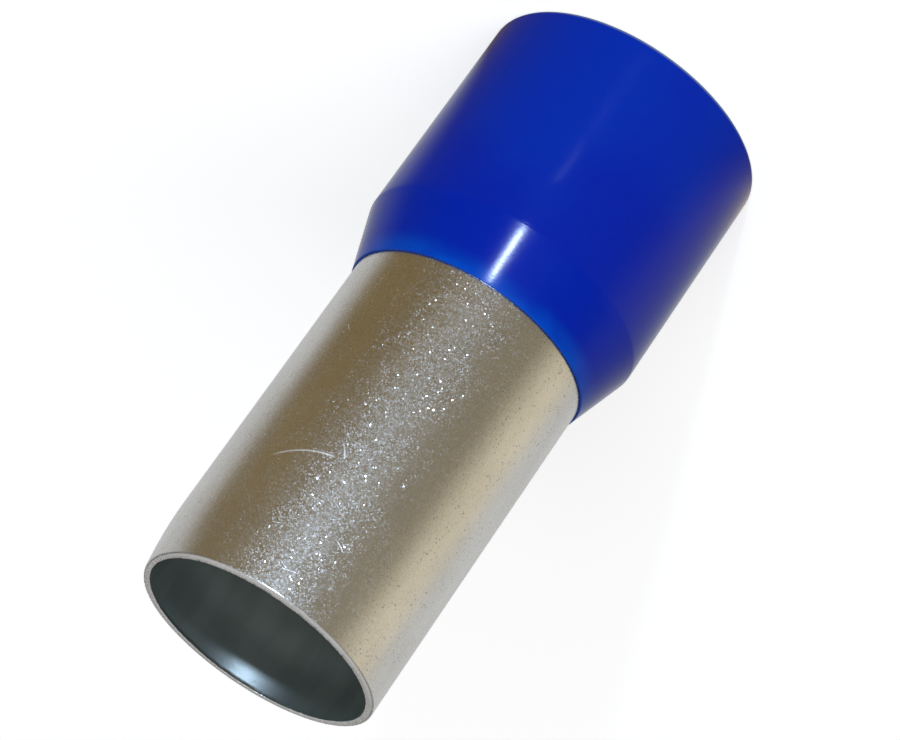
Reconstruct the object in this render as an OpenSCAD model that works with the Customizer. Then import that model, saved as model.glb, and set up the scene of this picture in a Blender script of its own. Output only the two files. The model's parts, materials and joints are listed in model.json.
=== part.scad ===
// Insulated wire-end ferrule: a thin tinned copper tube, belled at its rear end, held in a moulded
// plastic collar. The wire's bare strands go up through the collar into the tube, which is then crimped.
// The ferrule stands on the collar's rear rim, and +Z runs up the bore to the tube's mouth.

/* [Crimp tube] */
// Bore of the tube, where the bare strands go
tube_bore = 17.3; // [14:0.1:20]
// Thickness of the tube's wall
tube_wall = 0.6; // [0.4:0.05:0.8]
// Length of bare tube that stands out of the collar
tube_out_l = 27.0; // [16:0.5:40]
// Height of the belled end, from its bend to its rim
bell_l = 3.7; // [2:0.1:4]
// Radius of the bend into the bell, on the tube's outside
bell_bend_r = 1.5; // [0.8:0.1:3]
// Rounding that the cut leaves on the mouth's outer edge
mouth_round = 0.22; // [0.05:0.01:0.3]
// Rounding of the tube's other cut edges
burr_round = 0.06; // [0.03:0.01:0.1]

/* [Insulating collar] */
// Length of the collar, from its rear rim to its front lip
collar_l = 22.0; // [16:0.1:32]
// Thickness of the collar's wall
collar_wall = 0.7; // [0.6:0.05:1]
// How far the collar's chamber stands out from the tube all round, to take the wire's insulation
chamber_step = 0.95; // [0.9:0.05:1.6]
// Height of the taper between the front lip and the shoulder
taper_l = 4.7; // [4.5:0.1:8]
// Thickness of the collar's front lip
lip_t = 0.15; // [0.1:0.01:0.3]
// How far behind the front lip the tube bends out into its bell
bend_drop = 0.25; // [0.2:0.05:0.5]
// Rounding of the shoulder, where the taper meets the straight wall
shoulder_round = 0.9; // [0.3:0.1:2]
// Rounding of the corner inside the shoulder
chamber_round = 0.4; // [0.2:0.1:1]
// Rounding of the rear rim's outer edge
rim_round = 0.4; // [0.1:0.01:0.45]
// Lead-in that the rear rim gives the wire's insulation
lead_in = 0.15; // [0.1:0.01:0.25]

/* [Fit] */
// Gap between the tube and the collar that holds it
fit_gap = 0.02; // [0.01:0.005:0.05]

/* [Hidden] */

turn_fn = 128;    // facets of a preview's full turn
arc_step = 12;    // degrees between the points of a rounded corner
min_steps = 3;    // fewest steps in a rounded corner

TIN = [0.70, 0.69, 0.66];
BLUE = [0.01, 0.12, 0.62];

// Radii, from the bore outwards
bore_r = tube_bore / 2;
tube_r = bore_r + tube_wall;
seat_r = tube_r + fit_gap;
lip_r = seat_r + lip_t;
chamber_r = tube_r + chamber_step;
collar_r = chamber_r + collar_wall;

// Heights, from the mouth down
total_l = collar_l + tube_out_l;
seat_z = collar_l - bend_drop;
shoulder_z = collar_l - taper_l;

// The seat inside the taper is a cone that widens from the bend to the chamber
seat_slope = (chamber_r - seat_r) / (seat_z - shoulder_z);
seat_cos = cos(atan(seat_slope));

// Radius at height z of a cone that lies depth inside the seat
function cone_r(z, depth) = seat_r - depth / seat_cos + (seat_z - z) * seat_slope;

// Height at which that cone has radius r
function cone_z(r, depth) = seat_z - (r - seat_r + depth / seat_cos) / seat_slope;

// The bell's two skins run along the seat
bell_in = fit_gap + tube_wall;
bend_out_z = cone_z(tube_r, fit_gap);
bend_in_z = cone_z(bore_r, bell_in);
bell_z = bend_out_z - bell_l;

function unit(v) = v / norm(v);

// Points of the arc of radius r that rounds corner b of the path a, b, c
function corner(a, b, c, r) =
    let (
        u = unit(a - b),
        v = unit(c - b),
        half = acos(u * v) / 2,
        reach = r / tan(half),
        centre = b + unit(u + v) * r / sin(half),
        from = b + u * reach - centre,
        sweep = 180 - 2 * half,
        way = sign(u.x * v.y - u.y * v.x),
        steps = max(min_steps, ceil(sweep / arc_step))
    )
    [for (i = [0:steps])
        let (t = -way * sweep * i / steps)
        centre + [from.x * cos(t) - from.y * sin(t), from.x * sin(t) + from.y * cos(t)]];

// Outline with each corner [r, z, radius] rounded, or left sharp where its radius is 0
function rounded(path) =
    let (n = len(path))
    [for (i = [0:n - 1])
        let (
            a = path[(i + n - 1) % n],
            b = path[i],
            c = path[(i + 1) % n]
        )
        each b[2] > 0
            ? corner([a.x, a.y], [b.x, b.y], [c.x, c.y], b[2])
            : [[b.x, b.y]]];

// Solid of revolution about Z of a section given as [radius, height, rounding] corners
module turned(section) {
    rotate_extrude($fn = turn_fn) polygon(rounded(section));
}

// Drawn tube: a straight crimp barrel that bends out into a bell just inside the collar
module crimp_tube() {
    color(TIN) turned([
        [bore_r, total_l, burr_round],
        [tube_r, total_l, mouth_round],
        [tube_r, bend_out_z, bell_bend_r],
        [cone_r(bell_z, fit_gap), bell_z, burr_round],
        [cone_r(bell_z, bell_in), bell_z, burr_round],
        [bore_r, bend_in_z, bell_bend_r + tube_wall]
    ]);
}

// Moulded collar: a thin lip, a taper whose inside seats the tube's bell, and a chamber for the insulation
module insulating_collar() {
    color(BLUE) turned([
        [seat_r, collar_l, 0],
        [lip_r, collar_l, lip_t / 2],
        [collar_r, shoulder_z, shoulder_round],
        [collar_r, 0, rim_round],
        [chamber_r, 0, lead_in],
        [chamber_r, shoulder_z, chamber_round],
        [seat_r, seat_z, bell_bend_r - fit_gap]
    ]);
}

crimp_tube();
insulating_collar();
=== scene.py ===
# %% [markdown]
# # An insulated wire-end ferrule
# A wire-end ferrule turns the loose strands of a cut wire into one firm pin. It has two pieces: a thin tube
# of tinned copper, and a moulded plastic collar that holds the tube and takes the end of the insulation.
# The CAD model gives the sizes. This script turns two finely cut pieces around the same axis, gives them
# their finishes, and sets up a small studio.

# %% Load the frame
import json
import math
import random

import bpy
from mathutils import Matrix, Vector, noise


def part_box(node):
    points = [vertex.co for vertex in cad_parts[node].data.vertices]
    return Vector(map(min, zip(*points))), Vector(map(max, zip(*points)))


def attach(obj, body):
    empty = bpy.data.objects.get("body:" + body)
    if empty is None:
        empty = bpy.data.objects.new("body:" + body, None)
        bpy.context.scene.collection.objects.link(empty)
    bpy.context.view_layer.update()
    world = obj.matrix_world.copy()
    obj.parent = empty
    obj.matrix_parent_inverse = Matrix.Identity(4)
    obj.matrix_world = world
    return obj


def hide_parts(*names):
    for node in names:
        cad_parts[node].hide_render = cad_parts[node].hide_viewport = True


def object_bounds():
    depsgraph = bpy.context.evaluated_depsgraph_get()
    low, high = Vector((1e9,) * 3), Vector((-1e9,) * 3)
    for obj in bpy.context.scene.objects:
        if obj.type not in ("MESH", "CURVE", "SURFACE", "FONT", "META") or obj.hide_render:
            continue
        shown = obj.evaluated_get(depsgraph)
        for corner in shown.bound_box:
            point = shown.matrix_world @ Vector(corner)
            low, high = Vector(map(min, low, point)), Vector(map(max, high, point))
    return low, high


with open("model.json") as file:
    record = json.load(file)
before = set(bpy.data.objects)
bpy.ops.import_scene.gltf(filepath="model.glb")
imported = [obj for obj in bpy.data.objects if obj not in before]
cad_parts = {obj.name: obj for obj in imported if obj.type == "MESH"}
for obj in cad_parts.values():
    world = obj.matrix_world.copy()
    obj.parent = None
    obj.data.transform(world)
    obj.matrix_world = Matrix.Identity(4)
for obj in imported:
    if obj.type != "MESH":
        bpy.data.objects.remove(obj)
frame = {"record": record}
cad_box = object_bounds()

print("CAD box, mm:", [[round(v * 1000, 2) for v in corner] for corner in cad_box])

# %% [markdown]
# ## Sizes
# The frame knows the important sizes already. Each mount in its record carries the radius of a bore or a
# pin, and each node's box gives a height. Reading them here, and not typing them again, keeps this model on
# the CAD model when that changes. Only what no box or mount names is written down.

# %% Read the sizes from the frame
MM = 0.001

mount = {m["name"]: m["dims"].get("r_mm", 0) * MM for m in frame["record"]["mounts"]}
BORE_R = mount["conductor_bore"]
TUBE_R = mount["crimp_barrel"]
CHAMBER_R = mount["insulation_chamber"]

tube_low, tube_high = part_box("crimp_tube")
collar_low, collar_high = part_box("insulating_collar")
MOUTH_Z = tube_high.z
BELL_Z = tube_low.z
COLLAR_R = collar_high.x
LIP_Z = collar_high.z
WALL = TUBE_R - BORE_R

FIT_GAP = 0.02 * MM          # between the tube and the collar
LIP_THICK = 0.15 * MM        # the collar's front lip
TAPER_HEIGHT = 4.7 * MM      # from the lip down to the shoulder
BEND_DROP = 0.25 * MM        # from the lip down to where the tube bends out
BEND_R = 1.5 * MM            # that bend, on the tube's outside

SEAT_R = TUBE_R + FIT_GAP
SEAT_Z = LIP_Z - BEND_DROP
SHOULDER_Z = LIP_Z - TAPER_HEIGHT
SEAT_SLOPE = (CHAMBER_R - SEAT_R) / (SEAT_Z - SHOULDER_Z)
SEAT_COS = math.cos(math.atan(SEAT_SLOPE))

print(f"tube {2 * TUBE_R / MM:.1f} mm outside, {2 * BORE_R / MM:.1f} mm bore")
print(f"collar {2 * COLLAR_R / MM:.1f} mm outside")
print(f"lip at {LIP_Z / MM:.1f} mm, mouth at {MOUTH_Z / MM:.1f} mm")

# %% [markdown]
# ## A section, and a lathe to turn it
# Both pieces are round about one axis, so each is one outline turned through a full circle. Blender's Screw
# and Spin tools do that, but here each ring of points is placed in code, so that single points can be
# pushed about: a real tube is a little out of round, and a cut edge is never clean. An outline is a list
# of corners, and `rounded` swaps each for a short arc. A long straight run is then cut into even steps.

# %% Outline tools
LONGEST_STEP = 0.9 * MM


def rounded(corners, degrees_per_step=6):
    """Outline of (radius, height) points from (radius, height, rounding) corners."""
    points = []
    for i, (r, z, rounding) in enumerate(corners):
        here = Vector((r, z))
        if not rounding:
            points.append(here)
            continue
        before = (Vector(corners[i - 1][:2]) - here).normalized()
        after = (Vector(corners[(i + 1) % len(corners)][:2]) - here).normalized()
        half = before.angle(after) / 2
        centre = here + (before + after).normalized() * rounding / math.sin(half)
        start = here + before * rounding / math.tan(half) - centre
        sweep = math.pi - 2 * half
        way = -1 if before.cross(after) > 0 else 1
        steps = max(3, math.ceil(math.degrees(sweep) / degrees_per_step))
        points += [centre + Matrix.Rotation(way * sweep * k / steps, 2) @ start for k in range(steps + 1)]
    return points


def stepped(outline):
    """The same closed outline with every straight run cut into even steps."""
    points = []
    for a, b in zip(outline, outline[1:] + outline[:1]):
        steps = max(1, math.ceil((b - a).length / LONGEST_STEP))
        points += [a.lerp(b, k / steps) for k in range(steps)]
    return points


def cone(z=None, r=None, depth=0.0):
    """Radius at a height, or height at a radius, of a cone that lies depth inside the bell's seat."""
    if z is not None:
        return SEAT_R - depth / SEAT_COS + (SEAT_Z - z) * SEAT_SLOPE
    return SEAT_Z - (r - SEAT_R + depth / SEAT_COS) / SEAT_SLOPE


# %% The lathe
def lathe(name, outline, around, shift):
    """Turns a closed outline about Z in that many steps; shift gives a point (angle, r, z) a new (r, z)."""
    points = []
    for r, z in outline:
        for k in range(around):
            angle = math.tau * k / around
            new_r, new_z = shift(angle, r, z)
            points.append((new_r * math.cos(angle), new_r * math.sin(angle), new_z))
    faces = []
    for i in range(len(outline)):
        row, after = i * around, (i + 1) % len(outline) * around
        for k in range(around):
            side = (k + 1) % around
            faces.append((row + k, after + k, after + side, row + side))
    mesh = bpy.data.meshes.new(name)
    mesh.from_pydata(points, [], faces)
    mesh.validate()
    piece = bpy.data.objects.new(name, mesh)
    bpy.context.collection.objects.link(piece)
    mesh.shade_smooth()
    print(f"{name}: {len(points)} points, {2 * len(faces)} triangles")
    return piece


# %% [markdown]
# ## The crimp tube
# The real tube is drawn from copper, cut to length, belled at its rear end and then tinned. Drawing leaves
# it a hundredth of a millimetre or so out of round, which is enough to bend a reflection. The cut rolls the
# mouth's outer edge over, drags a ragged burr along the bore's edge, and pushes the wall in on one side,
# where it comes out thinner, and out on the next. Noise and a few smooth bumps push all of this into the
# mesh, because the mouth is what one looks at first, and bump in a material would leave its rim perfect.

# %% Faults of a real tube
OUT_OF_ROUND = 0.012 * MM
MOUTH_ROUND = 0.22 * MM      # outer edge of the mouth, rolled over by the cut
CUT_ROUND = 0.06 * MM        # the other cut edges
BURR_DEPTH = 0.117 * MM      # how far the burr stands in over the bore or is torn away
BURR_NEAR = 0.45             # share of that which the near side keeps
BURR_FINE = 0.9              # strength of its fine teeth, where the coarse ones have 1
DRAG = 0.198 * MM            # metal dragged in over the bore on one side
BURR_REACH = 0.16 * MM       # how far from the bore's edge the burr and the drag are felt
PINCH = 0.30 * MM            # how far one side of the mouth is pushed in
THINNED = 0.20 * MM          # how much thinner the wall is there
BULGE = 0.18 * MM            # how far the next side is pushed out
BENT_REACH = 5.0 * MM        # how far down the tube these two are felt
DRAG_SIDE = {"degrees": 50, "sharpness": 2}
PINCH_SIDE = {"degrees": -10, "sharpness": 4}
BULGE_SIDE = {"degrees": 65, "sharpness": 2}
print(f"mouth: pushed in by {PINCH / MM:.2f} mm and out by {BULGE / MM:.2f} mm")


# %% How a fault moves a point
def wander(angle, z, around, along, seed):
    """Smooth noise from -1 to 1 that closes on itself around the axis."""
    spot = Vector((math.cos(angle) * around, math.sin(angle) * around, z / MM * along + seed))
    return noise.noise(spot)


def toward(angle, degrees, sharpness):
    """1 in that direction from the axis, falling smoothly to 0 at a right angle to it."""
    return max(0.0, math.cos(angle - math.radians(degrees))) ** sharpness


def bent(angle, r, z):
    """How far out a point near the mouth moves, where the cut bent the wall."""
    felt = max(0.0, 1 - (MOUTH_Z - z) / BENT_REACH) ** 2
    pinch = PINCH + THINNED * min((r - BORE_R) / WALL, 1)
    return felt * (BULGE * toward(angle, **BULGE_SIDE) - pinch * toward(angle, **PINCH_SIDE))


def burr(angle, r, z):
    """How far in a point at the bore's edge moves, or down where this is less than 0."""
    felt = max(0.0, 1 - math.hypot(r - BORE_R, z - MOUTH_Z) / BURR_REACH) ** 2
    coarse = wander(angle, 0, around=34, along=0, seed=11.0)
    fine = wander(angle, 0, around=90, along=0, seed=17.0)
    share = BURR_NEAR + (1 - BURR_NEAR) * max(0.0, math.sin(angle))
    return felt * (BURR_DEPTH * share * (coarse + BURR_FINE * fine) + DRAG * toward(angle, **DRAG_SIDE))


def tube_shift(angle, r, z):
    """Out of round all over and bent at the mouth, with a ragged burr where the cut meets the bore."""
    out = OUT_OF_ROUND * wander(angle, z, around=1.5, along=0.05, seed=3.0) + bent(angle, r, z)
    ragged = burr(angle, r, z)
    return r + out - max(ragged, 0), z - max(-ragged, 0)


# %% Turn the tube
TUBE_STEPS = 640

bell_in = FIT_GAP + WALL
tube_corners = [
    (BORE_R, MOUTH_Z - 2 * BURR_REACH, 0.0),
    (BORE_R, MOUTH_Z - BURR_REACH, 0.0),
    (BORE_R, MOUTH_Z, CUT_ROUND),
    (TUBE_R, MOUTH_Z, MOUTH_ROUND),
    (TUBE_R, cone(r=TUBE_R, depth=FIT_GAP), BEND_R),
    (cone(z=BELL_Z, depth=FIT_GAP), BELL_Z, CUT_ROUND),
    (cone(z=BELL_Z, depth=bell_in), BELL_Z, CUT_ROUND),
    (BORE_R, cone(r=BORE_R, depth=bell_in), BEND_R + WALL),
]
tube = lathe("drawn_tube", stepped(rounded(tube_corners)), TUBE_STEPS, tube_shift)

# %% [markdown]
# ## The insulating collar
# The collar is moulded in one piece. Its front lip is as thin as the mould can fill, and the wall thickens
# down the taper to the shoulder. Inside, a cone seats the tube's bell, and below it a plain chamber takes
# the insulation. Plastic shrinks as it cools, so the wall sinks by a hair in its middle.

# %% Insulating collar
SHOULDER_ROUND = 0.9 * MM
CHAMBER_ROUND = 0.4 * MM     # the chamber's front corner
RIM_ROUND = 0.4 * MM         # outer edge of the rear rim
LEAD_IN = 0.15 * MM          # inner edge of the rear rim
SINK = 0.01 * MM
COLLAR_STEPS = 512


def collar_shift(angle, r, z):
    """A slight, uneven sink in the wall, none at the ends."""
    middle = math.sin(math.pi * min(max(z / LIP_Z, 0), 1))
    uneven = 0.5 + 0.5 * wander(angle, z, around=1.2, along=0.08, seed=29.0)
    return r - SINK * middle * uneven, z


collar_corners = [
    (SEAT_R, LIP_Z, 0.0),
    (SEAT_R + LIP_THICK, LIP_Z, LIP_THICK / 2),
    (COLLAR_R, SHOULDER_Z, SHOULDER_ROUND),
    (COLLAR_R, 0.0, RIM_ROUND),
    (CHAMBER_R, 0.0, LEAD_IN),
    (CHAMBER_R, SHOULDER_Z, CHAMBER_ROUND),
    (SEAT_R, SEAT_Z, BEND_R - FIT_GAP),
]
collar = lathe("moulded_collar", stepped(rounded(collar_corners)), COLLAR_STEPS, collar_shift)

# %% [markdown]
# ## Putting the pieces in the frame
# Each turned piece stands for its CAD solid, so the solid is hidden. It rides on the same body.

# %% Tie the pieces to the frame
for piece, node, finish in (
    (tube, "crimp_tube", "tinned_copper"),
    (collar, "insulating_collar", "collar_plastic"),
):
    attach(piece, "root")
    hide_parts(node)
    print(piece.name, "stands for", node)

# %% [markdown]
# ## Small helpers for finishes
# A finish is a tree of nodes. These helpers keep the trees short: one makes a node and fills its sockets,
# some do sums with numbers and vectors, and the others give patterns that can be stretched along the piece.

# %% Making and joining nodes
def new_finish(name):
    """A material with nothing in it but its shader and output."""
    material = bpy.data.materials.new(name)
    material.use_nodes = True
    return material, material.node_tree, material.node_tree.nodes["Principled BSDF"]


def add(tree, kind, values=None, **settings):
    """A node of that kind, with its settings and input values filled in; a socket as value is linked."""
    node = tree.nodes.new(kind)
    for key, value in settings.items():
        setattr(node, key, value)
    for key, value in (values or {}).items():
        if isinstance(value, bpy.types.NodeSocket):
            tree.links.new(value, node.inputs[key])
        else:
            node.inputs[key].default_value = value
    return node


# %% Sums with nodes
def sums(tree, operation, *values):
    """One sum of a Math node."""
    return add(tree, "ShaderNodeMath", dict(enumerate(values)), operation=operation).outputs[0]


def product(tree, first, *others):
    """All those numbers multiplied."""
    for other in others:
        first = sums(tree, "MULTIPLY", first, other)
    return first


def vectors(tree, operation, *values, result="Vector"):
    """One sum of a Vector Math node, which gives a vector or, with result="Value", a number."""
    return add(tree, "ShaderNodeVectorMath", dict(enumerate(values)), operation=operation).outputs[result]


def parts(tree, vector):
    """The three numbers of a vector or colour."""
    return add(tree, "ShaderNodeSeparateXYZ", {0: vector}).outputs


def ramp(tree, value, low, high, to_low=0.0, to_high=1.0):
    """Value carried smoothly from low..high to to_low..to_high, and no further."""
    values = {"Value": value, "From Min": low, "From Max": high, "To Min": to_low, "To Max": to_high}
    return add(tree, "ShaderNodeMapRange", values, interpolation_type="SMOOTHSTEP").outputs[0]


def mix(tree, factor, a, b):
    """Number a where the factor is 0, b where it is 1."""
    return add(tree, "ShaderNodeMix", {0: factor, 2: a, 3: b}).outputs[0]


def blend(tree, factor, a, b):
    """Colour a where the factor is 0, b where it is 1."""
    node = add(tree, "ShaderNodeMix", data_type="RGBA")
    for socket, value in zip((node.inputs[0], node.inputs[6], node.inputs[7]), (factor, a, b)):
        if isinstance(value, bpy.types.NodeSocket):
            tree.links.new(value, socket)
        else:
            socket.default_value = value
    return node.outputs[2]


# %% Patterns
def in_millimetres(tree, around=1.0, along=1.0):
    """Place on the piece in millimetres, times one number across the axis and another along it."""
    place = add(tree, "ShaderNodeTexCoord").outputs["Object"]
    return vectors(tree, "MULTIPLY", place, (around / MM, around / MM, along / MM))


def stretched_noise(tree, around, along, detail=2.0, roughness=0.5):
    """Noise with that many waves a millimetre around the piece and along it."""
    place = in_millimetres(tree, around, along)
    values = {"Vector": place, "Scale": 1.0, "Detail": detail, "Roughness": roughness}
    return add(tree, "ShaderNodeTexNoise", values).outputs["Fac"]


def cells(tree, per_mm, output):
    """An output of a pattern of random cells, with so many to a millimetre."""
    values = {"Vector": in_millimetres(tree), "Scale": per_mm}
    return add(tree, "ShaderNodeTexVoronoi", values).outputs[output]


def bumped(tree, height, millimetres, under=None):
    """A bump of that height in millimetres, over another bump if one is given."""
    values = {"Height": height, "Distance": millimetres * MM, "Strength": 1.0}
    if under is not None:
        values["Normal"] = under
    return add(tree, "ShaderNodeBump", values).outputs[0]


# %% [markdown]
# ## Tin crystals
# Dull tin is a soft, slightly warm metal. Up close it is a skin of fine crystals, each lying at its own
# small angle, which is why a lamp breaks up into glitter on it. Bump can't tilt a whole crystal one way, so
# a Voronoi pattern gives each cell a random colour, and that colour leans the surface normal.

# %% Crystals
def crystal_normal(tree, per_mm, lean, share=1.0):
    """The normal, leaned its own way in that share of the cells, with so many cells to a millimetre."""
    colour = cells(tree, per_mm, "Color")
    way = vectors(tree, "SUBTRACT", colour, (0.5, 0.5, 0.5))
    picked = sums(tree, "GREATER_THAN", parts(tree, colour)[2], 1.0 - share)
    scale = {0: way, "Scale": product(tree, picked, lean)}
    leaning = add(tree, "ShaderNodeVectorMath", scale, operation="SCALE").outputs[0]
    flat = add(tree, "ShaderNodeNewGeometry").outputs["Normal"]
    return vectors(tree, "NORMALIZE", vectors(tree, "ADD", flat, leaning))


# %% [markdown]
# ## Scratches
# A ferrule is sold loose in a bag, and rubbing against its neighbours leaves hairlines. Each is a short
# arc, so it is drawn as a circle of which only a stretch shows. The tube is unrolled for this: one
# coordinate runs around it in millimetres from the front, and the other up it.

# %% Unrolled tube
def angle_from_front(tree, place):
    """Angle around the axis, from the front, in radians."""
    x, y = parts(tree, place)[:2]
    return sums(tree, "ARCTAN2", x, product(tree, y, -1.0))


def unrolled(tree):
    """Millimetres around the tube from its front, and millimetres up."""
    place = in_millimetres(tree)
    return product(tree, angle_from_front(tree, place), TUBE_R / MM), parts(tree, place)[2]


# %% One hairline
def hairline(tree, place, middle, radius, start, sweep, width):
    """1 on an arc about that middle, in unrolled millimetres, over sweep degrees from start; else 0."""
    du = sums(tree, "SUBTRACT", place[0], middle[0])
    dv = sums(tree, "SUBTRACT", place[1], middle[1])
    reach = sums(tree, "SQRT", sums(tree, "ADD", product(tree, du, du), product(tree, dv, dv)))
    off = sums(tree, "ABSOLUTE", sums(tree, "SUBTRACT", reach, radius))
    half = math.radians(sweep / 2)
    turned = math.radians(start) + half
    ahead = sums(tree, "ADD", product(tree, du, math.cos(turned)), product(tree, dv, math.sin(turned)))
    fades = ramp(tree, sums(tree, "DIVIDE", ahead, reach), math.cos(half), math.cos(half * 0.6))
    return product(tree, ramp(tree, off, width, width * 0.3), fades)


# %% All hairlines
TOP = MOUTH_Z / MM
FREE_FROM = LIP_Z / MM       # where the tube comes out of the collar
LONG_ARC = {"middle": (1.9, TOP - 2.8), "radius": 7.65, "start": -86, "sweep": 37, "width": 0.09}
NICK = {"middle": (5.6, TOP - 8.8), "radius": 4.0, "start": 206, "sweep": 20, "width": 0.07}
SHORT_WIDTH = 0.045


def hairlines(tree, count, seed):
    """All the scratches in one mask: one long arc, one nick, and short ones strewn over the front."""
    place = unrolled(tree)
    mask = sums(tree, "MAXIMUM", hairline(tree, place, **LONG_ARC), hairline(tree, place, **NICK))
    dice = random.Random(seed)
    for _ in range(count):
        radius = dice.uniform(2.0, 9.0)
        away = dice.uniform(0, math.tau)
        spot = (dice.gauss(0.6, 3.6), dice.uniform(FREE_FROM + 2, TOP - 1))
        middle = (spot[0] - radius * math.cos(away), spot[1] - radius * math.sin(away))
        sweep = math.degrees(dice.uniform(0.5, 1.9) / radius)
        line = hairline(tree, place, middle, radius, math.degrees(away) - sweep / 2, sweep, SHORT_WIDTH)
        mask = sums(tree, "MAXIMUM", mask, product(tree, line, dice.uniform(0.3, 0.8)))
    return mask


# %% [markdown]
# ## Tinned copper
# Now the finish comes together. Outside, crystals lean more in some patches than in others, and faint lines
# run along the tube from the drawing die. Inside the bore the tin lies smoother and duller. Small dark
# pinholes, where the plating did not take, gather on one side. Inside and outside are told apart by which
# way the surface faces, because the wall is too thin, and too bent at the mouth, to go by radius.

# %% Patterns on the tin
PINHOLES_PER_MM = 3.2

tin, tree, shader = new_finish("tinned copper")

x, y, up = parts(tree, in_millimetres(tree))
outward = vectors(tree, "NORMALIZE", add(tree, "ShaderNodeCombineXYZ", {0: x, 1: y}).outputs[0])
normal = add(tree, "ShaderNodeTexCoord").outputs["Normal"]
outside = ramp(tree, vectors(tree, "DOT_PRODUCT", outward, normal, result="Value"), -0.7, -0.4)

crystals = stretched_noise(tree, 5.0, 5.0, detail=3.0, roughness=0.6)
die_lines = stretched_noise(tree, 6.0, 0.25)
clouds = stretched_noise(tree, 0.35, 0.12, detail=3.0)
patches = stretched_noise(tree, 0.9, 0.5, detail=4.0, roughness=0.65)
scratched = product(tree, hairlines(tree, count=16, seed=5), outside)

one_side = ramp(tree, unrolled(tree)[0], -3.0, -6.5)
gathered = ramp(tree, stretched_noise(tree, 0.6, 0.3), 0.46, 0.56)
pinholes = ramp(tree, cells(tree, PINHOLES_PER_MM, "Distance"), 0.22, 0.12)
pinholes = product(tree, pinholes, one_side, gathered, outside)

# %% Colour of the tin
TIN_WARM = (0.60, 0.58, 0.54, 1)
TIN_PALE = (0.67, 0.655, 0.62, 1)
TIN_DULL = (0.40, 0.39, 0.36, 1)
TIN_BARE = (0.96, 0.96, 0.95, 1)
HOLE = (0.16, 0.14, 0.12, 1)
BORE_DARK = (0.57, 0.63, 0.62, 1)
BORE_PALE = (0.66, 0.72, 0.71, 1)

bright = blend(tree, ramp(tree, clouds, 0.35, 0.65), TIN_WARM, TIN_PALE)
bright = blend(tree, ramp(tree, patches, 0.62, 0.74, 0.0, 0.35), bright, TIN_DULL)
bright = blend(tree, pinholes, bright, HOLE)
bright = blend(tree, scratched, bright, TIN_BARE)
within = blend(tree, ramp(tree, clouds, 0.42, 0.58), BORE_DARK, BORE_PALE)
tree.links.new(blend(tree, outside, within, bright), shader.inputs["Base Color"])
shader.inputs["Metallic"].default_value = 1.0

# %% Roughness of the tin
SMOOTHEST, ROUGHEST = 0.20, 0.32
SCRATCH_ROUGH = 0.62
BORE_MOUTH_ROUGH, BORE_DEEP_ROUGH = 0.32, 0.47

skin = mix(tree, scratched, ramp(tree, crystals, 0.3, 0.7, SMOOTHEST, ROUGHEST), SCRATCH_ROUGH)
bore = ramp(tree, up, TOP - 4.5, TOP - 2.0, BORE_DEEP_ROUGH, BORE_MOUTH_ROUGH)
tree.links.new(mix(tree, outside, bore, skin), shader.inputs["Roughness"])

# %% [markdown]
# ### Gleam and glitter
# Tin both gleams and glitters, and one layer can't do both. The metal itself is fairly smooth and gives the
# broad reflections, and only a few of its crystals lean, which makes the brightest specks. Over it lies a
# rough clear coat of high index in which every crystal leans. It breaks up the lamp into fine grains.

# %% Normals and coat of the tin
lean = ramp(tree, patches, 0.35, 0.65, 0.30, 0.70)
grain = crystal_normal(tree, 11.0, product(tree, lean, outside), share=0.015)
grain = bumped(tree, crystals, 0.006, grain)
grain = bumped(tree, die_lines, 0.002, grain)
grain = bumped(tree, scratched, 0.015, grain)
tree.links.new(grain, shader.inputs["Normal"])

more_upward = ramp(tree, up, FREE_FROM - 2, TOP, 0.6, 1.0)
tree.links.new(product(tree, outside, more_upward), shader.inputs["Coat Weight"])
tree.links.new(crystal_normal(tree, 14.0, lean), shader.inputs["Coat Normal"])
shader.inputs["Coat Roughness"].default_value = 0.47
shader.inputs["Coat IOR"].default_value = 3.0
tube.data.materials.append(tin)
print(tin.name, "has", len(tree.nodes), "nodes")

# %% [markdown]
# ## Blue collar plastic
# The collar is a soft, glossy plastic, dyed a deep blue. Near the thin lip the blue is painted lighter, a
# painted glow that stands for light coming back through the plastic from the metal under it, and the rear
# rim carries a painted pale highlight in place of its reflection. The mould was turned on a
# lathe, and its fine rings are printed on the plastic. A thin clear coat carries them. Its normals swing
# up and down with height, which draws a lamp's reflection out into a faint line along the collar, as such
# rings do, and leaves the sharp reflection under it alone. Bump can't do that in a view of the whole
# ferrule, where the rings lie too close together for it to find their slopes.

# %% Colour of the plastic
LIP_GLOW_REACH = 1.6 * MM        # how far from the lip the lighter glow is painted
RIM_HIGHLIGHT_TO = 0.40 * MM        # how far up from the rear rim the pale highlight is painted
RIM_HIGHLIGHT_FULL = 0.12 * MM
DYE_DEEP = (0.0006, 0.0120, 0.265, 1)
DYE_LIGHT = (0.0002, 0.0190, 0.285, 1)
PAINTED_LIP_GLOW = (0.0, 0.065, 0.40, 1)
PAINTED_RIM_HIGHLIGHT = (0.26, 0.31, 0.29, 1)

plastic, tree, shader = new_finish("blue collar plastic")

height = parts(tree, add(tree, "ShaderNodeTexCoord").outputs["Object"])[2]
dye_and_painted_light = blend(tree, ramp(tree, stretched_noise(tree, 0.06, 0.05), 0.4, 0.6), DYE_DEEP, DYE_LIGHT)
lip_glow_spread = ramp(tree, stretched_noise(tree, 0.25, 0.4), 0.3, 0.6, 0.25, 0.75)
# Painted glow: the blue is painted lighter near the lip, in place of light coming through the thin plastic.
dye_and_painted_light = blend(tree, product(tree, ramp(tree, height, LIP_Z - LIP_GLOW_REACH, LIP_Z), lip_glow_spread), dye_and_painted_light, PAINTED_LIP_GLOW)
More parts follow.
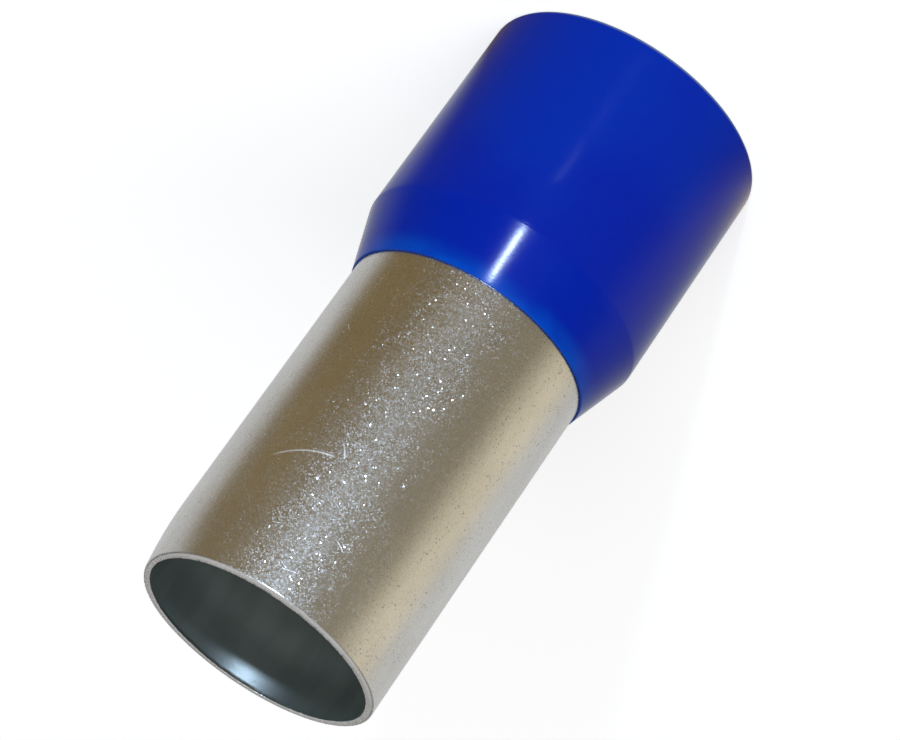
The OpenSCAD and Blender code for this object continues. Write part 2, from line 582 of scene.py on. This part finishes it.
# Painted highlight: the rear rim is painted pale, in place of its reflection.
dye_and_painted_light = blend(tree, ramp(tree, height, RIM_HIGHLIGHT_TO, RIM_HIGHLIGHT_FULL, 0.0, 0.8), dye_and_painted_light, PAINTED_RIM_HIGHLIGHT)
tree.links.new(dye_and_painted_light, shader.inputs["Base Color"])

# %% Surface of the plastic
RINGS_PER_MM = 10

dents = bumped(tree, stretched_noise(tree, 0.7, 0.5), 0.006)
wavy = bumped(tree, stretched_noise(tree, 2.5, 7.0), 0.0025, dents)
tree.links.new(wavy, shader.inputs["Normal"])
steep = ramp(tree, stretched_noise(tree, 0.3, 0.25), 0.35, 0.65, 0.26, 0.31)
rings = sums(tree, "SINE", product(tree, height, math.tau * RINGS_PER_MM / MM))
tilt = add(tree, "ShaderNodeCombineXYZ", {2: product(tree, rings, steep)}).outputs[0]
flat = add(tree, "ShaderNodeNewGeometry").outputs["Normal"]
tree.links.new(vectors(tree, "NORMALIZE", vectors(tree, "ADD", flat, tilt)), shader.inputs["Coat Normal"])
shader.inputs["Roughness"].default_value = 0.16
shader.inputs["Specular IOR Level"].default_value = 0.1
shader.inputs["Coat Weight"].default_value = 0.07
shader.inputs["Coat Roughness"].default_value = 0.16
collar.data.materials.append(plastic)
print(plastic.name, "has", len(tree.nodes), "nodes")

# %% [markdown]
# ## The studio
# Polished metal shows its surroundings and little else. In a studio, pale card at both sides of a bright
# tube and a dim room in front of it give the tube light edges and a dark middle. Seen from above, the wall
# of a standing tube mirrors the floor, so the tone of the floor in each direction is what it shows. The
# cut mouth looks higher up: past a dim band of room along the horizon, into a grey sky. Mirrored rays get
# these tones, and the camera itself sees plain white.

# %% Tones that a reflection sees
PALE = (0.66, 0.67, 0.68, 1)
CREAM = (0.84, 0.76, 0.58, 1)
DIM = (0.215, 0.150, 0.050, 1)
SHADE = (0.255, 0.210, 0.130, 1)
ROOM = (0.07, 0.07, 0.07, 1)
# Painted shade: the floor that the ferrule stands around is dark to mirrored rays, as if in its shadow.
FOOTPRINT_SHADE = (0.22, 0.16, 0.10, 1)     # the bit of floor that the ferrule stands around
SKY = (0.60, 0.60, 0.60, 1)
WHITE = (1, 1, 1, 1)
FLOOR_TONES = [
    (-180, PALE), (-112, PALE), (-92, CREAM), (-78, CREAM), (-52, SHADE),
    (-10, SHADE), (20, DIM), (100, DIM), (120, PALE), (180, PALE),
]


def floor_tone(tree, place):
    """Tone of the floor in each direction from the ferrule: dim in front, pale at the sides and behind."""
    turn = sums(tree, "MULTIPLY_ADD", angle_from_front(tree, place), 1 / math.tau, 0.5)
    node = add(tree, "ShaderNodeValToRGB", {0: turn})
    elements = node.color_ramp.elements
    while len(elements) < len(FLOOR_TONES):
        elements.new(0.5)
    for element, (degrees, _) in zip(elements, FLOOR_TONES):
        element.position = degrees / 360 + 0.5
    for element, (_, colour) in zip(elements, FLOOR_TONES):
        element.color = colour
    return node.outputs[0]


# %% What each ray sees
def shown(tree, camera, mirror, rest):
    """One look for the camera, one for rays that metal or glass sends on, and one for plain light."""
    path = add(tree, "ShaderNodeLightPath").outputs
    sent_on = sums(tree, "MAXIMUM", path["Is Glossy Ray"], path["Is Transmission Ray"])
    unseen = add(tree, "ShaderNodeMixShader", {0: sent_on, 1: rest, 2: mirror}).outputs[0]
    return add(tree, "ShaderNodeMixShader", {0: path["Is Camera Ray"], 1: unseen, 2: camera}).outputs[0]


# %% Floor
FLOOR_R = 3.0
GLOW = 0.60                  # added to the lit paper, so that it reaches white
PAPER = (0.82, 0.82, 0.82, 1)

paper, tree, shader = new_finish("white paper")
tree.nodes.remove(shader)
place = add(tree, "ShaderNodeTexCoord").outputs["Object"]
matt = add(tree, "ShaderNodeBsdfDiffuse", {"Color": PAPER}).outputs[0]
glow = add(tree, "ShaderNodeEmission", {"Color": WHITE, "Strength": GLOW}).outputs[0]
lit = add(tree, "ShaderNodeAddShader", {0: matt, 1: glow}).outputs[0]
from_axis = vectors(tree, "LENGTH", place, result="Value")
# Painted shade: near the axis the mirrored floor turns to the dark footprint tone.
outer = ramp(tree, from_axis, CHAMBER_R * 0.97, CHAMBER_R * 1.01)
tone = blend(tree, outer, FOOTPRINT_SHADE, floor_tone(tree, place))
mirrored = add(tree, "ShaderNodeEmission", {"Color": tone, "Strength": 1.0}).outputs[0]
look = shown(tree, camera=lit, mirror=mirrored, rest=matt)
tree.links.new(look, tree.nodes["Material Output"].inputs[0])

bpy.ops.mesh.primitive_circle_add(vertices=96, radius=FLOOR_R, fill_type="NGON", location=(0, 0, 0))
floor = bpy.context.object
floor.name = "paper_floor"
floor.data.materials.append(paper)
print("floor", 2 * FLOOR_R, "m across")

# %% World
AMBIENT = 0.15
HORIZON_TO, SKY_FROM = 12, 24      # degrees up: where the dim band ends and the grey sky begins

world = bpy.data.worlds.new("studio")
bpy.context.scene.world = world
world.use_nodes = True
tree = world.node_tree
tree.nodes.clear()
rise = parts(tree, add(tree, "ShaderNodeTexCoord").outputs["Generated"])[2]
higher = ramp(tree, rise, math.sin(math.radians(HORIZON_TO)), math.sin(math.radians(SKY_FROM)))
tone = blend(tree, higher, ROOM, SKY)
plain = add(tree, "ShaderNodeBackground", {"Color": WHITE, "Strength": AMBIENT}).outputs[0]
white = add(tree, "ShaderNodeBackground", {"Color": WHITE, "Strength": 1.0}).outputs[0]
mirrored = add(tree, "ShaderNodeBackground", {"Color": tone, "Strength": 1.0}).outputs[0]
look = shown(tree, camera=white, mirror=mirrored, rest=plain)
tree.links.new(look, add(tree, "ShaderNodeOutputWorld").inputs[0])
print("ambient light", AMBIENT)

# %% [markdown]
# ## Lamps
# One small, bluish lamp stands low in front. It draws the bright line down the collar's taper, lights the
# glitter on the tin and reaches a little way into the mouth. A broad, soft lamp higher up does the plain
# lighting. It is kept out of reflections, where it would only wash over the metal.

# %% Lamps
def aim(light, turn, height, distance):
    """Places a lamp at that turn and height in degrees from the ferrule's middle, and aims it there."""
    holder = bpy.data.objects.new(light.name, light)
    bpy.context.collection.objects.link(holder)
    a, e = math.radians(turn), math.radians(height)
    away = Vector((math.sin(a) * math.cos(e), -math.cos(a) * math.cos(e), math.sin(e)))
    holder.location = Vector((0, 0, MOUTH_Z / 2)) + away * distance
    holder.rotation_euler = away.to_track_quat("Z", "Y").to_euler()
    holder.visible_camera = False
    return holder


flash = bpy.data.lights.new("flash", "AREA")
flash.shape = "DISK"
flash.size = 0.024
flash.energy = 2.2
flash.color = (0.62, 0.78, 1.0)
aim(flash, turn=12, height=6.5, distance=0.6)

soft = bpy.data.lights.new("soft", "SUN")
soft.angle = math.radians(50)
soft.energy = 1.9
aim(soft, turn=-6, height=32, distance=1.0).visible_glossy = False
print("lamps:", flash.name, "and", soft.name)

# %% [markdown]
# ## Camera
# The camera looks down into the mouth from about 25 degrees above, through a long lens. It is rolled well
# over, so that the standing ferrule lies across the picture with its mouth at the lower left.

# %% Camera
LENS = 143.3
ELEVATION, ROLL = 25.27, 144.92
DISTANCE = 249.3 * MM
TARGET_SIDE, TARGET_DROP = -0.286 * MM, 0.058 * MM     # from the ferrule's middle

camera = bpy.data.objects.new("camera", bpy.data.cameras.new("camera"))
bpy.context.collection.objects.link(camera)
camera.data.lens = LENS
camera.data.sensor_width = 36
camera.data.clip_start = 0.01
camera.data.clip_end = 20
tilt = math.radians(ELEVATION)
target = Vector((TARGET_SIDE, 0, cad_box[1].z / 2 - TARGET_DROP))
camera.location = target + DISTANCE * Vector((0, -math.cos(tilt), math.sin(tilt)))
level = (target - camera.location).to_track_quat("-Z", "Y").to_matrix()
camera.rotation_euler = (level @ Matrix.Rotation(math.radians(-ROLL), 3, "Z")).to_euler()
bpy.context.scene.camera = camera
bpy.context.scene.view_settings.view_transform = "Standard"
print("camera at", [round(v / MM, 1) for v in camera.location], "mm")
